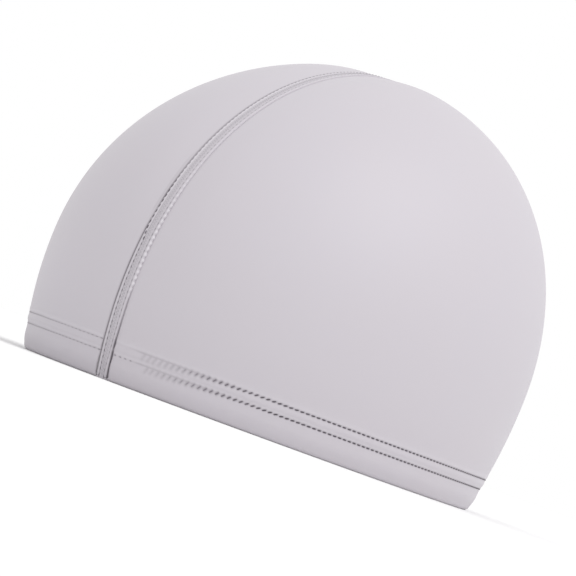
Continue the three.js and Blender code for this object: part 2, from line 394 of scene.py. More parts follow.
class CapShape:
    """Where the outside of the cap lies, and how its cloth lies on it"""

    def __init__(self, settings):
        self.form = settings.form
        self.cloth = settings.cloth
        self.seam = settings.seam
        self.stitching = settings.stitching
        self.fold = 2 * self.cloth.thickness + self.cloth.gap
        self.panel_edge = self.seam.width / 2 + self.cloth.gap
        heights = np.linspace(0, self.form.cap_height, 2000)
        front = self.centre(heights) - self.half_length(heights)
        back = self.centre(heights) + self.half_length(heights)
        self.middle = (front.min() + back.max()) / 2

    def half_size(self, height, at_rim, at_widest):
        form = self.form
        below = 1 - np.minimum(height / form.widest_height, 1)
        low = (at_widest - (at_widest - at_rim) * below**2) / 2
        above = np.clip((height - form.widest_height) / (form.cap_height - form.widest_height), 0, 1)
        high = at_widest / 2 * np.sqrt(1 - above**form.shoulder_power)
        return np.where(height <= form.widest_height, low, high)

    def half_length(self, height):
        return self.half_size(height, self.form.opening_length, self.form.widest_length)

    def half_width(self, height):
        return self.half_size(height, self.form.opening_width, self.form.widest_width)

    def centre(self, height):
        form = self.form
        return form.crown_setback * (np.maximum(height, 0) / form.cap_height) ** form.setback_power

    def top_height(self, side):
        """Height at which the crown has closed to a distance from the seam's middle"""
        form = self.form
        above = (1 - (2 * side / form.widest_width) ** 2) ** (1 / form.shoulder_power)
        return form.widest_height + (form.cap_height - form.widest_height) * above

    def outsideness(self, x, y, z):
        """Zero on the outside, positive beyond it"""
        form = self.form
        back = y - self.centre(z)
        low = np.minimum(z, form.widest_height)
        under = (x / self.half_width(low)) ** 2 + (back / self.half_length(low)) ** 2 - 1
        above = np.maximum(z - form.widest_height, 0) / (form.cap_height - form.widest_height)
        over = (2 * x / form.widest_width) ** 2 + (2 * back / form.widest_length) ** 2 - 1
        return np.where(z <= form.widest_height, under, over + above**form.shoulder_power)

    def outward(self, x, y, z):
        """Direction of the cloth's thickness, level at the rim so that the fold stands flat"""
        step = 1e-6
        slopes = [
            self.outsideness(x + dx, y + dy, z + dz) - self.outsideness(x - dx, y - dy, z - dz)
            for dx, dy, dz in ((step, 0, 0), (0, step, 0), (0, 0, step))
        ]
        normal = unit(np.stack(slopes, axis=-1))
        normal[..., 2] *= smoothstep(z, self.cloth.thickness, self.cloth.hem_depth)
        return unit(normal)

    def pressed(self, x, y, z, inset):
        """Points of the outside, moved inward by an inset and by the seam's valley"""
        form = self.form
        x, y, z, inset = np.broadcast_arrays(x, y, z, inset)
        beside = np.maximum(np.abs(x) - self.seam.width / 2, 0)
        depth = form.valley_depth * smoothstep(z, *form.valley_rise)
        inward = inset + depth * bell(beside, 0, form.valley_reach / 2)
        points = np.stack([x, y - self.middle, z], axis=-1)
        return points - self.outward(x, y, z) * inward[..., None]

    def ring(self, side, turn, height, inset, twist=0.0):
        """Points of a panel, by their share of the way round from the front seam to the back"""
        half_width = self.half_width(height)
        half_length = self.half_length(height)
        start = np.arcsin(np.minimum(self.panel_edge / np.maximum(half_width, 1e-9), 1))
        around = start + (np.pi - 2 * start) * turn
        reach = np.hypot(half_width * np.cos(around), half_length * np.sin(around))
        around = around + side * twist / np.maximum(reach, 1e-9)
        x = side * half_width * np.sin(around)
        y = self.centre(height) - half_length * np.cos(around)
        return self.pressed(x, y, height, inset)

    def rim_turns(self, shares):
        """Shares of the turn that lie evenly along the hem, and the hem's length in one panel"""
        turns = np.linspace(0, 1, 4001)
        height = (self.stitching.lower_row + self.stitching.upper_row) / 2
        run = run_along(self.ring(1, turns, height, 0.0))
        return np.interp(np.asarray(shares) * run[-1], run, turns), run[-1]

    def course_height(self, course, side=0.0):
        """Height of a place along the seam, which runs from -2 at the front rim to 2 at the back rim"""
        hem = self.cloth.hem_depth
        way = np.abs(course)
        crown = between(hem, self.top_height(np.abs(side)), np.cos(np.minimum(way, 1) * np.pi / 2))
        return np.where(way > 1, hem * (2 - way), crown)

    def seam_points(self, course, side, inset, twist=0.0):
        """Points on or near the seam, by their place along it and their distance from its middle"""
        height = self.course_height(course, side)
        across = side / np.maximum(self.half_width(height), np.abs(side) + 1e-12)
        away = np.sign(course) * self.half_length(height) * np.sqrt(1 - across**2)
        return self.pressed(side - np.sign(course) * twist, self.centre(height) + away, height, inset)


# Meshes

def closed_cloth(face, back, coarse, fine_rungs):
    """Faces of a closed body between a coated face and its back, both grids of rungs by columns.

    Only the face's fine rungs use all columns. The others use the coarse ones, and a fan of
    corners joins a coarse rung to a fine one. Rungs that meet in one point are closed up.
    """
    rungs, columns = face.shape[:2]
    points = np.concatenate([face.reshape(-1, 3), back.reshape(-1, 3)])
    number = np.arange(len(points)).reshape(2, rungs, columns)
    for sheet in (0, 1):
        if np.ptp((face, back)[sheet][0], axis=0).max() < 1e-6:
            number[sheet, 0] = number[sheet, 0, 0]
    spans = list(zip(coarse[:-1], coarse[1:]))
    faces = []
    materials = []

    def add(corners, material):
        corners = [int(c) for k, c in enumerate(corners) if c != corners[k - 1]]
        if len(corners) > 2:
            faces.append(corners)
            materials.append(material)

    for r in range(rungs - 1):
        above, below = number[0, r], number[0, r + 1]
        if fine_rungs[r] and fine_rungs[r + 1]:
            for c in range(columns - 1):
                add([above[c], above[c + 1], below[c + 1], below[c]], 0)
        else:
            for low, high in spans:
                upper = above[low:high + 1] if fine_rungs[r] else above[[low, high]]
                lower = below[low:high + 1] if fine_rungs[r + 1] else below[[low, high]]
                add([*upper, *lower[::-1]], 0)
        for low, high in spans:
            inner, next_inner = number[1, r], number[1, r + 1]
            add([inner[low], next_inner[low], next_inner[high], inner[high]], 1)
        for c, turned in ((0, False), (columns - 1, True)):
            corners = [number[0, r, c], number[0, r + 1, c], number[1, r + 1, c], number[1, r, c]]
            add(corners[::-1] if turned else corners, 1)
    for r, turned in ((0, True), (rungs - 1, False)):
        for low, high in spans:
            corners = [number[0, r, low], number[0, r, high], number[1, r, high], number[1, r, low]]
            add(corners[::-1] if turned else corners, 1)
    return points, faces, materials


def make_piece(name, points, faces, finishes, materials=None, fields=None, sharp=None):
    """Object at the origin from points and faces, with a number or a vector for each point in its fields"""
    used, packed = np.unique(np.concatenate([np.asarray(face) for face in faces]), return_inverse=True)
    cuts = np.cumsum([len(face) for face in faces])[:-1]
    mesh = bpy.data.meshes.new(name)
    mesh.from_pydata(points[used].tolist(), [], [part.tolist() for part in np.split(packed, cuts)])
    for finish in finishes:
        mesh.materials.append(finish)
    if materials is not None:
        mesh.polygons.foreach_set("material_index", materials)
    for field, values in (fields or {}).items():
        vector = values.ndim == 2
        made = mesh.attributes.new(field, "FLOAT_VECTOR" if vector else "FLOAT", "POINT")
        made.data.foreach_set("vector" if vector else "value", values[used].astype(np.float32).ravel())
    shaped = bmesh.new()
    shaped.from_mesh(mesh)
    bmesh.ops.remove_doubles(shaped, verts=shaped.verts, dist=CLOSE)
    bmesh.ops.dissolve_degenerate(shaped, edges=shaped.edges, dist=CLOSE)
    bmesh.ops.recalc_face_normals(shaped, faces=shaped.faces)
    shaped.to_mesh(mesh)
    shaped.free()
    mesh.shade_smooth()
    if sharp is not None:
        mesh.set_sharp_from_angle(angle=sharp)
    piece = bpy.data.objects.new(name, mesh)
    bpy.context.scene.collection.objects.link(piece)
    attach(piece, ROOT_BODY)
    return piece


def tubes(rings, lay, spin):
    """Points, faces and lay of closed tubes, from their points as tubes by rings by sides"""
    total, rows, sides = rings.shape[:3]
    row, edge = np.meshgrid(np.arange(rows - 1) * sides, np.arange(sides), indexing="ij")
    beside = (edge + 1) % sides
    corners = [row + edge, row + beside, row + sides + beside, row + sides + edge]
    quads = np.stack(corners, -1).reshape(-1, 4)
    caps = [list(range(sides))[::-1], list(range((rows - 1) * sides, rows * sides))]
    faces = []
    for start in range(0, total * rows * sides, rows * sides):
        faces.extend((quads + start).tolist())
        faces.extend([[corner + start for corner in cap] for cap in caps])
    size = rings.shape[:3] + (1,)
    lays = [np.broadcast_to(part, size) for part in (lay, spin / (2 * np.pi), 0.0)]
    return rings.reshape(-1, 3), faces, np.concatenate(lays, -1).reshape(-1, 3)


def short_threads(centre, along, out, reach, width, height, bow, rings=7, sides=8):
    """Short threads with pointed ends that dive into the cloth, all in one mesh"""
    centre, along, out = (np.asarray(a)[:, None, None, :] for a in (centre, along, out))
    reach, width, height, bow = (
        np.broadcast_to(a, centre.shape[0])[:, None, None, None] for a in (reach, width, height, bow)
    )
    across = np.cross(out, along)
    step = np.linspace(0, np.pi, rings)[None, :, None, None]
    spin = np.arange(sides)[None, None, :, None] * 2 * np.pi / sides
    place = -np.cos(step)
    girth = np.maximum(np.sin(step), 0.02) ** 0.6
    points = centre + along * place * reach / 2 + out * bow * (0.5 - place**2)
    points = points + girth * (across * np.cos(spin) * width / 2 + out * np.sin(spin) * height / 2)
    return tubes(points, place * reach / 2, spin)


def long_thread(points, out, width, sides=5):
    """A thread that follows points on the cloth, with closed ends"""
    ways = unit(np.gradient(points, axis=0))
    across = unit(np.cross(out, ways))[:, None]
    upward = np.cross(ways, across[:, 0])[:, None]
    spin = np.arange(sides)[:, None] * 2 * np.pi / sides
    rings = points[:, None] + (across * np.cos(spin) + upward * np.sin(spin)) * width / 2
    return tubes(rings[None], run_along(points)[None, :, None, None], spin[None, None])


# Finishes

class Number:
    """Number that a node gives. Arithmetic on it adds Math nodes"""

    def __init__(self, finish, socket):
        self.finish = finish
        self.socket = socket

    def math(self, operation, *values):
        node = self.finish.node("ShaderNodeMath", {"operation": operation}, dict(enumerate(values)))
        return Number(self.finish, node.outputs[0])

    def __add__(self, other):
        return self.math("ADD", self, other)

    def __sub__(self, other):
        return self.math("SUBTRACT", self, other)

    def __rsub__(self, other):
        return self.math("SUBTRACT", other, self)

    def __mul__(self, other):
        return self.math("MULTIPLY", self, other)

    def __pow__(self, other):
        return self.math("POWER", self, other)

    def __abs__(self):
        return self.math("ABSOLUTE", self)

    __radd__ = __add__
    __rmul__ = __mul__

    def sine(self):
        return self.math("SINE", self)


class Finish:
    """Material with one Principled shader"""

    def __init__(self, name):
        self.material = bpy.data.materials.new(name)
        self.material.use_nodes = True
        self.tree = self.material.node_tree
        self.tree.nodes.clear()
        self.shader = self.node("ShaderNodeBsdfPrincipled")
        self.node("ShaderNodeOutputMaterial", values={"Surface": self.shader.outputs[0]})

    def join(self, socket, value):
        """Give a socket its value, or link it to the output that makes it"""
        value = getattr(value, "socket", value)
        if isinstance(value, bpy.types.NodeSocket):
            self.tree.links.new(value, socket)
        else:
            socket.default_value = value

    def node(self, kind, settings=None, values=None):
        made = self.tree.nodes.new(kind)
        for name, value in (settings or {}).items():
            setattr(made, name, value)
        for key, value in (values or {}).items():
            self.join(made.inputs[key], value)
        return made

    def field(self, name):
        """Number stored on the points of the mesh"""
        node = self.node("ShaderNodeAttribute", {"attribute_type": "GEOMETRY", "attribute_name": name})
        return Number(self, node.outputs["Fac"])

    def field_parts(self, name):
        """The three numbers of a vector stored on the points of the mesh"""
        node = self.node("ShaderNodeAttribute", {"attribute_type": "GEOMETRY", "attribute_name": name})
        parts = self.node("ShaderNodeSeparateXYZ", values={"Vector": node.outputs["Vector"]})
        return [Number(self, output) for output in parts.outputs]

    def speckle(self, size, detail=2.0):
        """Cloudy noise with spots of about a given size"""
        place = self.node("ShaderNodeTexCoord").outputs["Object"]
        values = {"Vector": place, "Scale": 1 / size, "Detail": detail}
        return Number(self, self.node("ShaderNodeTexNoise", values=values).outputs["Fac"])

    def mix(self, factor, first, second):
        values = {0: factor, 6: first, 7: second}
        return self.node("ShaderNodeMix", {"data_type": "RGBA"}, values).outputs[2]

    def set(self, **values):
        for name, value in values.items():
            self.join(self.shader.inputs[name.replace("_", " ")], value)

    def bump(self, height, depth, strength=1.0):
        values = {"Height": height, "Distance": depth, "Strength": strength}
        self.set(Normal=self.node("ShaderNodeBump", values=values).outputs["Normal"])


def opaque(colour_setting):
    return (*colour_setting, 1.0)


def coated_finish(settings):
    """Smooth coated face: satin, a faint knit under the coating, painted shade in the creases and at the
    stitches, and painted highlights on ridges and puffs
    """
    look = settings.finish
    finish = Finish("satin_coating")
    patches = finish.speckle(look.patch)
    clean = finish.mix(patches, opaque(look.coating), opaque(look.coating_warm))
    # Painted highlight: the coating turns paler on ridges and puffs
    tight = finish.mix(finish.field("painted_highlight"), clean, opaque(look.painted_highlight_colour))
    # Painted shade: the coating mixes toward the dark crease colour in creases, at stitches and along
    # stitched lines
    finish.set(Base_Color=finish.mix(finish.field("crease"), tight, opaque(look.crease)))
    grain = finish.speckle(look.coating_grain, 3.0)
    run, rise, _ = finish.field_parts("cloth")
    turn = 2 * math.pi / look.coating_rib
    ribs = (run * turn).sine() * (rise * turn).sine()
    finish.set(Roughness=look.coating_roughness + (grain - 0.5) * 0.1)
    finish.set(Sheen_Weight=0.04, Specular_IOR_Level=0.42)
    finish.bump(grain + ribs * 0.25, 0.012 * MILLIMETRE, 0.7)
    return finish.material


def knit_finish(settings):
    """White knitted back: columns of small loops, soft and without gloss"""
    look = settings.finish
    finish = Finish("knitted_back")
    run, rise, _ = finish.field_parts("cloth")
    turn = math.pi / look.knit_wale
    wale = abs((run * turn).sine())
    lean = abs((run * turn + math.pi / 2).sine())
    loops = abs((rise * (turn / 0.8) + lean * 1.2).sine())
    fuzz = finish.speckle(look.knit_fuzz, 4.0)
    height = wale * 0.6 + loops * 0.5 + fuzz * 0.4
    # Painted shade: the back darkens toward its hollows' colour where its knit lies low
    finish.set(Base_Color=finish.mix(height * 0.8, opaque(look.knit_shade), opaque(look.knit)))
    finish.set(Roughness=0.86 + (fuzz - 0.5) * 0.1)
    finish.set(Sheen_Weight=0.15, Specular_IOR_Level=0.25)
    finish.bump(height, 0.09 * MILLIMETRE)
    return finish.material


def thread_finish(settings):
    """Twisted two-ply thread, mixed from pale to dark by painted light and shade, with painted shade between
    its plies
    """
    look = settings.finish
    finish = Finish("sewing_thread")
    lay, around, _ = finish.field_parts("cloth")
    ply = abs((lay * (math.pi / look.thread_ply) + around * (2 * math.pi)).sine())
    pale = finish.mix(finish.field("crease"), opaque(look.thread_pale), opaque(look.thread))
    # Painted shade in the grooves between the plies
    groove = [c * 0.62 for c in look.thread]
    finish.set(Base_Color=finish.mix((1 - ply) ** 2 * 0.55, pale, opaque(groove)))
    finish.set(Roughness=0.6 + (1 - ply) * 0.15)
    finish.set(Specular_IOR_Level=0.3)
    finish.bump(ply, 0.05 * MILLIMETRE)
    return finish.material


def floor_finish(settings):
    """Plain matt white floor"""
    finish = Finish("plain_floor")
    finish.set(Base_Color=opaque(settings.finish.floor))
    finish.set(Roughness=0.95, Specular_IOR_Level=0.0)
    return finish.material


FINISHES = {"satin_coating": coated_finish, "knitted_back": knit_finish, "sewing_thread": thread_finish}


def finish_named(name, settings):
    made = bpy.data.materials.get(name)
    return made or FINISHES[name](settings)


# Panels

def stitch_count(shape):
    return round(shape.rim_turns([0, 1])[1] / shape.stitching.pitch)


def stitch_lie(shape, side, run, row):
    """Lean, length, width and darkness of one row's stitches. The darkness is painted shade, and a stitch
    without darkness is hidden
    """
    sewing = shape.stitching
    if side < 0:
        far = smoothstep(run, *sewing.right_rise)
        width = sewing.stitch_width * between(*sewing.right_width, far)
        return 0 * run, 0 * run + sewing.short_length, width, between(*sewing.right_dark, far)
    lower = row == sewing.lower_row
    sunk = run < (sewing.first_lower if lower else sewing.first_upper)
    long = fading(run, *sewing.long_fade)
    wide = fading(run, *sewing.wide_fade) * ~sunk
    dot = between(*sewing.dot_dark, run / sewing.last_dot) * (run < sewing.last_dot) * lower
    dark = between(*sewing.left_dark, smoothstep(run, *sewing.left_rise))
    return (
        sewing.slant * fading(run, *sewing.slant_fade) * ~sunk,
        np.where(sunk, sewing.dot_length, between(sewing.stitch_length, sewing.long_length, long)),
        np.where(sunk, sewing.dot_width, 1) * between(sewing.stitch_width, sewing.wide_width, wide),
        np.where(sunk, dot, dark),
    )


def stitch_height(shape, row, lean, reach):
    """Height of the middle of a stitch, which hangs from its row when it is slanted"""
    half = reach / 2 * np.sin(lean)
    return row + np.minimum(half, shape.stitching.rise) - half


def row_line(shape, side, run):
    """Depth and painted shade of the line that a whole row of stitches draws in the cloth"""
    sewing = shape.stitching
    if side < 0:
        return sewing.right_row, between(*sewing.right_row_dark, smoothstep(run, *sewing.right_row_rise))
    rest = between(1, sewing.left_row_rest, smoothstep(run, *sewing.left_row_fade))
    shown = smoothstep(run, *sewing.left_row_rise) * rest
    depth, dark = sewing.left_row
    return depth * shown, dark * shown


def hem_marks(shape, side, run, height, pitch):
    """How much each place of the hem is drawn in by a stitch, and how much painted shade it gets"""
    sewing = shape.stitching
    run, height = np.broadcast_arrays(run, height)
    line_depth, line_dark = row_line(shape, side, run + shape.panel_edge)
    drawn = np.zeros(run.shape)
    dark = np.zeros(run.shape)
    for row in (sewing.lower_row, sewing.upper_row):
        for step in (-1, 0, 1):
            place = (np.floor(run / pitch) + 0.5 + step) * pitch
            lean, reach, width, shade = stitch_lie(shape, side, place + shape.panel_edge, row)
            rise = height - stitch_height(shape, row, lean, reach)
            along = (run - place) * np.cos(lean) + rise * np.sin(lean)
            beside = rise * np.cos(lean) - (run - place) * np.sin(lean)
            mark = np.exp(-((2 * along / reach) ** 4) - (2 * beside / width) ** 2) * (shade > 0)
            drawn = np.maximum(drawn, mark * (0.5 + 0.5 * shade))
            dark = np.maximum(dark, mark * shade)
        line = bell(height, row, sewing.row_width)
        drawn = np.maximum(drawn, line * line_depth)
        dark = np.maximum(dark, line * line_dark)
    return drawn, dark


def hem_puff(shape, height):
    """How far the hem's outside swells between the rim and the rows of stitches, and over them"""
    cloth = shape.cloth
    sewing = shape.stitching
    under = np.clip(height / sewing.lower_row, 0, 1)
    amid = np.clip((height - sewing.lower_row) / (sewing.upper_row - sewing.lower_row), 0, 1)
    over = bell(height, sewing.upper_row + cloth.puff_over, cloth.puff_over_width)
    amid_share, over_share = cloth.puff_shares
    swell = np.sin(np.pi * under) ** 2 + amid_share * np.sin(np.pi * amid) ** 2 + over_share * over
    return cloth.hem_puff * swell


def fold_rungs(shape):
    """Rungs round the hem's fold: height and inset of the face and of the back, and their twist"""
    cloth = shape.cloth
    bend = np.pi * np.arange(1, FOLD_STEPS + 1) / FOLD_STEPS
    turned = bend > np.pi / 2
    level = np.full(FOLD_STEPS, cloth.thickness)
    inset = cloth.fold_rounding * (1 - np.cos(bend)) + (shape.fold - 2 * cloth.fold_rounding) * turned
    height = cloth.fold_rounding * (1 - np.sin(bend))
    return np.stack([height, inset, level, level + cloth.gap * turned, 0 * level], axis=1)


def turned_in_rungs(shape, rows):
    """Rungs of the hem's inner layer, from the fold up to the cloth's edge"""
    cloth = shape.cloth
    part = np.arange(1, rows + 1) / rows
    level = np.ones(rows)
    height = between(cloth.fold_rounding, cloth.hem_depth, part)
    back_height = between(cloth.thickness, cloth.hem_depth, part)
    back_inset = cloth.thickness + cloth.gap
    twist = cloth.hem_twist * part
    return np.stack([height, shape.fold * level, back_height, back_inset * level, twist], axis=1)


def panel_rungs(shape):
    """All rungs of a panel, from the top round the fold to the edge inside, and which are fine"""
    cloth = shape.cloth
    sewing = shape.stitching
    way = np.linspace(0, 1, cloth.crown_rows, endpoint=False)
    crown = between(cloth.hem_depth, shape.top_height(shape.panel_edge), np.cos(way * np.pi / 2))
    fine_top = sewing.upper_row + cloth.fine_over
    fine_low = sewing.lower_row - cloth.fine_under
    hem = np.concatenate([
        np.linspace(cloth.hem_depth, fine_top, UPPER_HEM_ROWS, endpoint=False),
        np.linspace(fine_top, fine_low, cloth.stitch_rows),
        np.linspace(fine_low, cloth.fold_rounding, LOWER_HEM_ROWS + 1)[1:],
    ])
    outside = np.concatenate([crown, hem])
    part = np.clip((cloth.hem_depth - outside) / (cloth.hem_depth - cloth.fold_rounding), 0, 1)
    back = np.where(part > 0, between(cloth.hem_depth, cloth.thickness, part), outside)
    level = np.ones(len(outside))
    rows = np.stack([outside, 0 * level, back, cloth.thickness * level, 0 * level], axis=1)
    table = np.concatenate([rows, fold_rungs(shape), turned_in_rungs(shape, cloth.inner_rows)])
    fine = np.zeros(len(table), bool)
    first = cloth.crown_rows + UPPER_HEM_ROWS
    fine[first:first + cloth.stitch_rows] = True
    return table, fine


def cloth_run(points):
    """Position of each point on the flat cut: along the rim from the piece's middle, and up"""
    run = run_along(points.swapaxes(0, 1)).T
    run = run - run[:, -1:] / 2
    rise = run_along(points[:, points.shape[1] // 2])[:, None]
    return np.stack(np.broadcast_arrays(run, rise, 0.0), axis=-1)


def cloth_fields(face, back, crease, painted_highlight, back_darkness=0.0):
    """What the finishes read from a cloth: its run, its painted shade, its painted highlight, and how dark
    its back is
    """
    plain = np.zeros(back[..., 0].size)
    return {
        "cloth": np.concatenate([cloth_run(face).reshape(-1, 3), cloth_run(back).reshape(-1, 3)]),
        "crease": np.concatenate([crease.ravel(), plain + back_darkness]),
        "painted_highlight": np.concatenate([painted_highlight.ravel(), plain]),
    }


def sew_panel(settings, side, name, node):
    """One panel with its hem turned in"""
    shape = CapShape(settings)
    cloth = shape.cloth
    stitches = stitch_count(shape)
    columns = stitches * STITCH_COLUMNS + 1
    turns, whole = shape.rim_turns(np.linspace(0, 1, columns))
    run = np.linspace(0, whole, columns)
    table, fine = panel_rungs(shape)
    face_height, face_inset, back_height, back_inset, twist = (c[:, None] for c in table.T)
    outside = face_inset == 0
    smooth = shape.ring(side, turns, face_height, face_inset)
    from_edge = np.maximum(np.abs(smooth[..., 0]) - shape.panel_edge, 0)
    roll = cloth.edge_roll * np.exp(-from_edge / cloth.edge_roll_width)
    drawn, dark = hem_marks(shape, side, run, face_height, whole / stitches)
    relief = hem_puff(shape, face_height) - shape.stitching.dimple_depth * drawn - roll
    face = shape.ring(side, turns, face_height, face_inset - relief * outside, twist)
    back = shape.ring(side, turns, back_height, back_inset, twist)
    ends = np.arange(STITCH_COLUMNS + 1)
    coarse = np.unique(np.concatenate([ends, np.arange(0, columns, STITCH_COLUMNS), columns - 1 - ends]))
    points, faces, materials = closed_cloth(face, back, coarse, fine)
    crease, painted_highlight = panel_tones(shape, side, face_height, from_edge, dark)
    fields = cloth_fields(face, back, crease * outside, painted_highlight * outside)
    finishes = [finish_named("satin_coating", settings), finish_named("knitted_back", settings)]
    piece = make_piece(name, points, faces, finishes, materials, fields, math.radians(50))
    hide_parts(node)
    return piece


def panel_tones(shape, side, height, from_edge, stitch_dark):
    """How much painted shade and painted highlight the outside of a panel gets"""
    seam = shape.seam
    sewing = shape.stitching
    # Painted shade in the crease along the panel's edge at the seam
    beside = crease_shade(shape, side > 0, height) * bell(from_edge, 0, seam.edge_crease_width)
    # Painted shade: a faint line on the right panel near its edge, higher up
    shown = smoothstep(height, *seam.side_rise) * fading(height, *seam.side_fade) * (side < 0)
    side_line = seam.side_dark * shown * bell(from_edge, seam.side_line, seam.side_width)
    # All the panel's painted shade: its edge crease, the faint side line and the stitches' marks
    crease = np.clip(beside + side_line + sewing.dimple_dark * stitch_dark, 0, 1)
    rows = np.array([sewing.lower_row, sewing.upper_row]) + sewing.ridge_over
    ridges = sum(bell(height, row, sewing.ridge_width) for row in rows)
    return crease, sewing.ridge_highlight * ridges + 0 * from_edge


# Crown seam

def seam_courses(shape, step):
    """Courses that lie evenly along the seam's outside from rim to rim, and its length"""
    rim = 1.998
    dense = np.linspace(-rim, rim, 6001)
    run = run_along(shape.seam_points(dense, np.zeros(1), 0.0))
    even = np.linspace(0, run[-1], round(run[-1] / step) + 1)
    return np.interp(even, run, dense), even, run[-1]


def crease_shade(shape, left, high):
    """How much painted shade lies in the crease beside the seam. The left one fades where the seam puffs up
    over it
    """
    seam = shape.seam
    sewing = shape.stitching
    beads = 0.5 - 0.5 * np.cos(2 * np.pi * high / sewing.pitch)
    dotted = between(*seam.bead_depth, smoothstep(high, *seam.bead_rise))
    faded = smoothstep(high, *seam.bead_fade)
    right = between(1, seam.right_rest, faded) * (1 - dotted * (1 - faded) * beads)
    over_hem = smoothstep(high, sewing.upper_row, sewing.upper_row + seam.hem_fade)
    puffed = smoothstep(high, *seam.puff_rise)
    gap_place, gap_width = seam.crease_gap
    gap = 0.5 * bell(high, sewing.lower_row + gap_place, gap_width)
    return np.where(left, seam.left_crease - seam.left_fade * (over_hem + puffed) - gap, right)


def stitched_line(shape, left, high):
    """Distance from the seam's middle to its stitches. The left ones move out above the rim"""
    seam = shape.seam
    return seam.line + left * seam.line_drift * smoothstep(high, *seam.drift_rise)


def seam_profile(shape, across, high, run):
    """Relief of the seam's outside, and its painted shade and painted highlight, across and along it"""
    seam = shape.seam
    across, high, run = np.broadcast_arrays(across, high, run)
    away = np.abs(across)
    left = across > 0
    line = stitched_line(shape, left, high)
    wave = 0.5 + 0.5 * np.cos(2 * np.pi * run / shape.stitching.pitch)
    kept = between(1, seam.puff_rest, smoothstep(high, *seam.puff_fade))
    puffed = left * smoothstep(high, *seam.puff_rise) * kept
    spread = left * smoothstep(high, *seam.spread_rise)
    outer = seam.width / 2 + seam.spread * spread + seam.puff_swell * puffed * wave
    reach = (outer - line) / 2
    end = seam.end + reach
    from_ridge = np.hypot(away - (outer + line) / 2, np.minimum(high - end, 0)) / reach
    full = np.where(left, 1 + puffed * between(*seam.puff_lift, wave), seam.right_ridge)
    ridge = np.sqrt(np.clip(1 - from_ridge**2, 0, 1)) * full
    band = (away < line) * (seam.middle - seam.groove * bell(away, line, seam.groove_width))
    low = between(1, seam.flat_share, smoothstep(high, *seam.flat_rise))
    relief = seam.relief * low * (ridge + band) - seam.sink * (away >= outer)
    flank = bell(away, outer + seam.crease_out, seam.crease_width) * (high > seam.end)
    calm = between(1, seam.calm_rest, smoothstep(high, *seam.calm_rise))
    ring = bell(from_ridge, *seam.end_ring) * (high < end)
    # Painted shade in the creases, along the stitched lines and round the seam's end; the flat middle is
    # made a little darker
    crease = np.max([
        flank * crease_shade(shape, left, high),
        np.where(left, *seam.line_dark) * calm * bell(away, line, seam.line_width),
        seam.end_dark * ring,
        seam.middle_dark * (away < line),
    ], axis=0)
    # Painted highlight on the puffs and along the right ridge higher up
    puff = seam.puff_highlight * puffed * wave * bell(away, outer - seam.puff_highlight_width, seam.puff_highlight_width)
    tight = seam.highlight_share * smoothstep(high, *seam.highlight_rise) * ~left
    painted_highlight = puff + tight * bell(from_ridge, 0, seam.highlight_round)
    return relief, np.clip(crease, 0, 1), np.clip(painted_highlight, 0, 1)


def seam_end(shape, across, end):
    """Face, back, painted shade and painted highlight of the seam's part that is turned in with the hem"""
    cloth = shape.cloth
    seam = shape.seam
    table = np.concatenate([fold_rungs(shape), turned_in_rungs(shape, 4 * cloth.inner_rows)])
    height, inset, back_height, back_inset, twist = (column[:, None] for column in table.T)
    relief, crease, painted_highlight = seam_profile(shape, across, height, height)
    folded = height < cloth.fold_rounding
    flange = np.abs(across) > seam.width / 2
    height = np.where(flange, np.maximum(height, seam.sink), height)
    inset = np.where(flange, np.clip(inset, seam.sink, shape.fold - seam.sink), inset + relief * ~folded)
    face = shape.seam_points(end * (2 - height / cloth.hem_depth), across, inset, twist)
    back = shape.seam_points(end * (2 - back_height / cloth.hem_depth), across, back_inset, twist)
    return face, back, crease, painted_highlight


def sew_seam(settings):
    """The flat seam over the crown, turned in with the hem at both ends"""
    shape = CapShape(settings)
    cloth = shape.cloth
    seam = shape.seam
    half = np.array(SEAM_COLUMNS) * MILLIMETRE
    across = np.concatenate([-half[:0:-1], half])
    courses, run, whole = seam_courses(shape, shape.stitching.pitch / STITCH_COLUMNS)
    courses = courses[:, None]
    high = shape.course_height(courses)
    relief, crease, painted_highlight = seam_profile(shape, across, high, np.minimum(run, whole - run)[:, None])
    ribs = seam.rib + seam.rib_wave * np.cos(2 * np.pi * across / seam.rib_pitch)
    ribs = np.where(np.abs(across) < shape.panel_edge, ribs, -seam.rib_sink)
    above_hem = smoothstep(high, cloth.hem_depth, cloth.hem_depth + seam.rib_start)
    outer = shape.seam_points(courses, across, -relief)
    inner = shape.seam_points(courses, across, cloth.thickness + ribs * above_hem)
    front, back = (seam_end(shape, across, end) for end in (-1, 1))
    grids = [
        np.concatenate([first[::-1], middle, last])
        for first, middle, last in zip(front, (outer, inner, crease, painted_highlight), back)
    ]
    face, back, crease, painted_highlight = grids
    coarse = np.arange(0, len(across), 2)
    points, faces, materials = closed_cloth(face, back, coarse, np.ones(len(face), bool))
    fields = cloth_fields(face, back, crease, painted_highlight, seam.inner_dark)
    finishes = [finish_named("satin_coating", settings)] * 2
    sharp = math.radians(60)
    piece = make_piece("flat_crown_seam", points, faces, finishes, materials, fields, sharp)
    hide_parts("crown_seam")
    return piece


# Stitches

def add_threads(settings, name, parts):
    """One piece from parts that each hold points, faces, lay and darkness, the painted shade of their thread
    """
    starts = np.cumsum([0] + [len(part[0]) for part in parts])
    points = np.concatenate([part[0] for part in parts])
    faces = []
    for start, part in zip(starts, parts):
        start = int(start)
        faces.extend([[c + start for c in face] for face in part[1]])
    lay = np.concatenate([part[2] for part in parts])
    dark = np.concatenate([np.broadcast_to(part[3], len(part[0])) for part in parts])
    finishes = [finish_named("sewing_thread", settings)]
    return make_piece(name, points, faces, finishes, None, {"cloth": lay, "crease": dark})


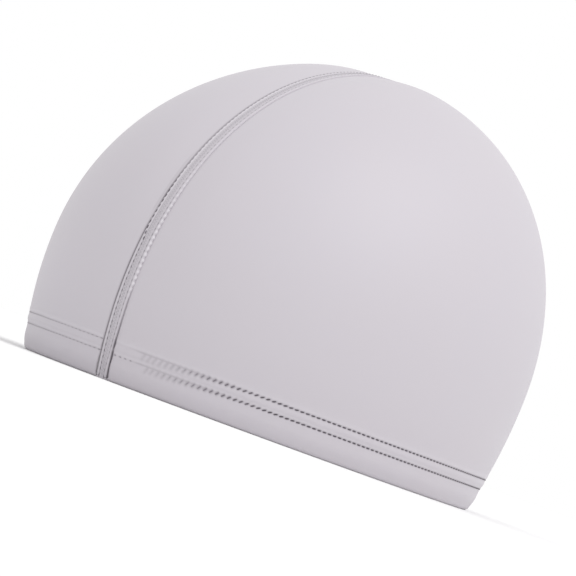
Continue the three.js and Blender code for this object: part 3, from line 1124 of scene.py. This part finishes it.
def sew_hem_needles(settings):
    """The two rows of needle stitches that show on the hem's outside"""
    shape = CapShape(settings)
    sewing = shape.stitching
    stitches = stitch_count(shape)
    places = (np.arange(stitches) + 0.5) / stitches
    turns, whole = shape.rim_turns(places)
    parts = []
    for side in (1, -1):
        for row in (sewing.lower_row, sewing.upper_row):
            lean, reach, width, dark = stitch_lie(shape, side, places * whole + shape.panel_edge, row)
            shown = dark > 0
            lean, reach, width, dark, turn = (a[shown] for a in (lean, reach, width, dark, turns))
            height = stitch_height(shape, row, lean, reach)
            sink = sewing.stitch_sink + sewing.pale_sink * fading(dark, *sewing.pale_range) * (lean > 0)
            centre = shape.ring(side, turn, height, sink)
            level = unit(shape.ring(side, turn + NUDGE, height, sink) - centre)
            up = unit(shape.ring(side, turn, height + NUDGE, sink) - centre)
            along = unit(level * np.cos(lean)[:, None] + up * np.sin(lean)[:, None])
            out = unit(centre - shape.ring(side, turn, height, sink + NUDGE))
            thin = sewing.stitch_width * between(*sewing.thread_share, dark)
            reach = sewing.shown_share * reach
            made = short_threads(centre, along, out, reach, thin, sewing.stitch_height, sewing.stitch_bow)
            parts.append((*made, np.repeat(dark, len(made[0]) // len(turn))))
    return add_threads(settings, "hem_needle_stitches", parts)


def sew_hem_loopers(settings):
    """The threads that cross between the two rows on the hem's inside"""
    shape = CapShape(settings)
    cloth = shape.cloth
    sewing = shape.stitching
    stitches = stitch_count(shape)
    places = np.linspace(sewing.looper_end, 1 - sewing.looper_end, stitches * LOOPER_STEPS + 1)
    turns, _ = shape.rim_turns(places)
    middle = (sewing.lower_row + sewing.upper_row) / 2 + sewing.looper_over
    parts = []
    for side in (1, -1):
        for shift, rise in ((0.0, 1.0), (0.5, -1.0)):
            phase = places * stitches + shift
            wave = rise * zigzag(phase, sewing.looper_corner)
            height = middle + wave * (sewing.upper_row - sewing.lower_row) / 2
            twist = cloth.hem_twist * height / cloth.hem_depth
            over = sewing.looper_wave * np.cos(4 * np.pi * phase + shift * np.pi)
            lift = shape.fold + sewing.looper_lift + over
            path = shape.ring(side, turns, height, lift, twist)
            base = shape.ring(side, turns, height, lift - MILLIMETRE, twist)
            made = long_thread(path, unit(path - base), sewing.looper_width)
            parts.append((*made, sewing.looper_dark))
    return add_threads(settings, "hem_looper_threads", parts)


def sew_seam_needles(settings):
    """Needle stitches along both sides of the seam's flat middle"""
    shape = CapShape(settings)
    sewing = shape.stitching
    seam = shape.seam
    courses, run, _ = seam_courses(shape, sewing.pitch)
    courses = (courses[1:-1] + courses[:-2]) / 2
    run = (run[1:-1] + run[:-2]) / 2
    high = shape.course_height(courses)
    # Darkness of the seam's stitches is painted light and shade
    crossed = smoothstep(high, *seam.bead_rise)
    left_dark = sewing.seam_dark * between(1, sewing.seam_rest, smoothstep(high, *seam.calm_rise))
    right_rest = between(1, sewing.bead_rest, smoothstep(high, *seam.bead_pale))
    right_dark = between(*sewing.bead_dark, crossed) * right_rest
    width = sewing.seam_stitch_width
    height = width * sewing.seam_stitch_flat
    parts = []
    for across, dark in (
        (-stitched_line(shape, False, high) - seam.bead_shift * crossed, right_dark),
        (stitched_line(shape, True, high), left_dark),
    ):
        relief = seam_profile(shape, across, high, run)[0]
        centre = shape.seam_points(courses, across, -relief)
        ahead = shape.seam_points(courses + NUDGE, across, -relief)
        out = unit(shape.seam_points(courses, across, -relief - MILLIMETRE) - centre)
        along = unit(ahead - centre)
        made = short_threads(centre, along, out, sewing.short_length, width, height, sewing.seam_bow)
        parts.append((*made, np.repeat(dark, len(made[0]) // len(courses))))
    return add_threads(settings, "seam_needle_stitches", parts)


def sew_seam_covers(settings):
    """Fine threads that cross the seam's flat middle, outside and inside"""
    shape = CapShape(settings)
    sewing = shape.stitching
    courses, run, _ = seam_courses(shape, sewing.pitch / COVER_STEPS)
    wave = zigzag(2 * run / sewing.pitch, sewing.corner)
    narrow = shape.seam.line * sewing.cover_reach
    wide = shape.seam.width / 2
    under = shape.cloth.thickness + sewing.inner_cover_lift
    parts = []
    for outside, last, reach, inset, width in (
        (True, sewing.cover_end, narrow, sewing.cover_sink, sewing.cover_width),
        (False, 1, wide, under, sewing.inner_cover_width),
    ):
        kept = np.abs(courses) < last
        course = courses[kept]
        across = wave[kept] * reach
        relief = seam_profile(shape, across, shape.course_height(course), run[kept])[0] * outside
        path = shape.seam_points(course, across, inset - relief)
        base = shape.seam_points(course, across, inset - relief + MILLIMETRE)
        out = unit(path - base) if outside else unit(base - path)
        parts.append((*long_thread(path, out, width), sewing.cover_dark))
    return add_threads(settings, "seam_cover_threads", parts)


# Stage

def lay_floor(settings):
    mesh = bpy.data.meshes.new("floor")
    shaped = bmesh.new()
    bmesh.ops.create_circle(shaped, cap_ends=True, segments=96, radius=settings.stage.floor_radius)
    shaped.to_mesh(mesh)
    shaped.free()
    mesh.materials.append(floor_finish(settings))
    floor = bpy.data.objects.new("floor", mesh)
    bpy.context.scene.collection.objects.link(floor)


def light_stage(settings):
    stage = settings.stage
    world = bpy.data.worlds.new("white_room")
    world.use_nodes = True
    background = world.node_tree.nodes["Background"]
    background.inputs["Color"].default_value = (1.0, 1.0, 1.0, 1.0)
    background.inputs["Strength"].default_value = stage.sky
    bpy.context.scene.world = world
    add_sun("soft_sun", stage.sun, stage.sun_size, stage.sun_azimuth, stage.sun_elevation)
    add_sun("low_fill", stage.fill, stage.fill_size, stage.fill_azimuth, stage.fill_elevation)


def add_sun(name, strength, size, azimuth, elevation):
    lamp = bpy.data.lights.new(name, "SUN")
    lamp.energy = strength
    lamp.angle = size
    level = math.cos(elevation)
    toward = Vector((math.sin(azimuth) * level, -math.cos(azimuth) * level, math.sin(elevation)))
    sun = bpy.data.objects.new(name, lamp)
    sun.rotation_mode = "QUATERNION"
    sun.rotation_quaternion = toward.to_track_quat("Z", "Y")
    sun.location = toward
    bpy.context.scene.collection.objects.link(sun)


def place_camera(settings):
    stage = settings.stage
    shift = -CapShape(settings).middle
    right = Vector((math.cos(stage.azimuth), math.sin(stage.azimuth), 0))
    front = Vector((math.sin(stage.azimuth), -math.cos(stage.azimuth), 0))
    place = front * stage.distance + Vector((0, shift, stage.camera_height))
    aim = right * stage.aim_side + Vector((0, shift, stage.aim_height))
    back = (place - aim).normalized()
    level = back.cross(Vector((0, 0, -1))).normalized()
    lift = back.cross(level)
    x_axis = level * math.cos(stage.roll) + lift * math.sin(stage.roll)
    y_axis = back.cross(x_axis)
    made = bpy.data.cameras.new("camera")
    made.lens = stage.lens
    made.sensor_width = 36
    made.clip_start = 0.05
    made.clip_end = 50
    camera = bpy.data.objects.new("camera", made)
    turn = Matrix((x_axis, y_axis, back)).transposed()
    camera.matrix_world = Matrix.Translation(place) @ turn.to_4x4()
    bpy.context.scene.collection.objects.link(camera)
    bpy.context.scene.camera = camera


# Operators

class SwimCapStageOperator(bpy.types.Operator):
    """Lay the floor, light it and place the camera"""

    bl_idname = "swim_cap.stage"
    bl_label = "Stage"

    def execute(self, context):
        settings = context.scene.swim_cap
        lay_floor(settings)
        light_stage(settings)
        place_camera(settings)
        context.scene.view_settings.view_transform = "Standard"
        return {"FINISHED"}


class SwimCapPanelsOperator(bpy.types.Operator):
    """Sew the left and the right panel with their hem"""

    bl_idname = "swim_cap.panels"
    bl_label = "Panels"

    def execute(self, context):
        settings = context.scene.swim_cap
        sew_panel(settings, 1, "left_panel_cloth", "panel_left")
        sew_panel(settings, -1, "right_panel_cloth", "panel_right")
        return {"FINISHED"}


class SwimCapSeamOperator(bpy.types.Operator):
    """Sew the flat seam over the crown"""

    bl_idname = "swim_cap.seam"
    bl_label = "Crown seam"

    def execute(self, context):
        sew_seam(context.scene.swim_cap)
        return {"FINISHED"}


class SwimCapHemStitchesOperator(bpy.types.Operator):
    """Stitch the hem's outside and inside"""

    bl_idname = "swim_cap.hem_stitches"
    bl_label = "Hem stitches"

    def execute(self, context):
        sew_hem_needles(context.scene.swim_cap)
        sew_hem_loopers(context.scene.swim_cap)
        return {"FINISHED"}


class SwimCapSeamStitchesOperator(bpy.types.Operator):
    """Stitch the flat seam"""

    bl_idname = "swim_cap.seam_stitches"
    bl_label = "Seam stitches"

    def execute(self, context):
        sew_seam_needles(context.scene.swim_cap)
        sew_seam_covers(context.scene.swim_cap)
        return {"FINISHED"}


OPERATORS = (
    SwimCapStageOperator,
    SwimCapPanelsOperator,
    SwimCapSeamOperator,
    SwimCapHemStitchesOperator,
    SwimCapSeamStitchesOperator,
)


class SwimCapPanel(bpy.types.Panel):
    """Lists the steps that sew the cap"""

    bl_idname = "VIEW3D_PT_swim_cap"
    bl_label = "Swim Cap"
    bl_space_type = "VIEW_3D"
    bl_region_type = "UI"
    bl_category = "Swim Cap"

    def draw(self, context):
        for operator in OPERATORS:
            self.layout.operator(operator.bl_idname)


CLASSES = (
    SwimCapForm,
    SwimCapCloth,
    SwimCapSeam,
    SwimCapStitching,
    SwimCapFinish,
    SwimCapStage,
    SwimCapSettings,
    *OPERATORS,
    SwimCapPanel,
)


def register():
    for made in CLASSES:
        bpy.utils.register_class(made)
    bpy.types.Scene.swim_cap = bpy.props.PointerProperty(type=SwimCapSettings)


def unregister():
    del bpy.types.Scene.swim_cap
    for made in reversed(CLASSES):
        bpy.utils.unregister_class(made)


def main():
    register()
    bpy.ops.swim_cap.stage()
    bpy.ops.swim_cap.panels()
    bpy.ops.swim_cap.seam()
    bpy.ops.swim_cap.hem_stitches()
    bpy.ops.swim_cap.seam_stitches()


if __name__ == "__main__":
    main()
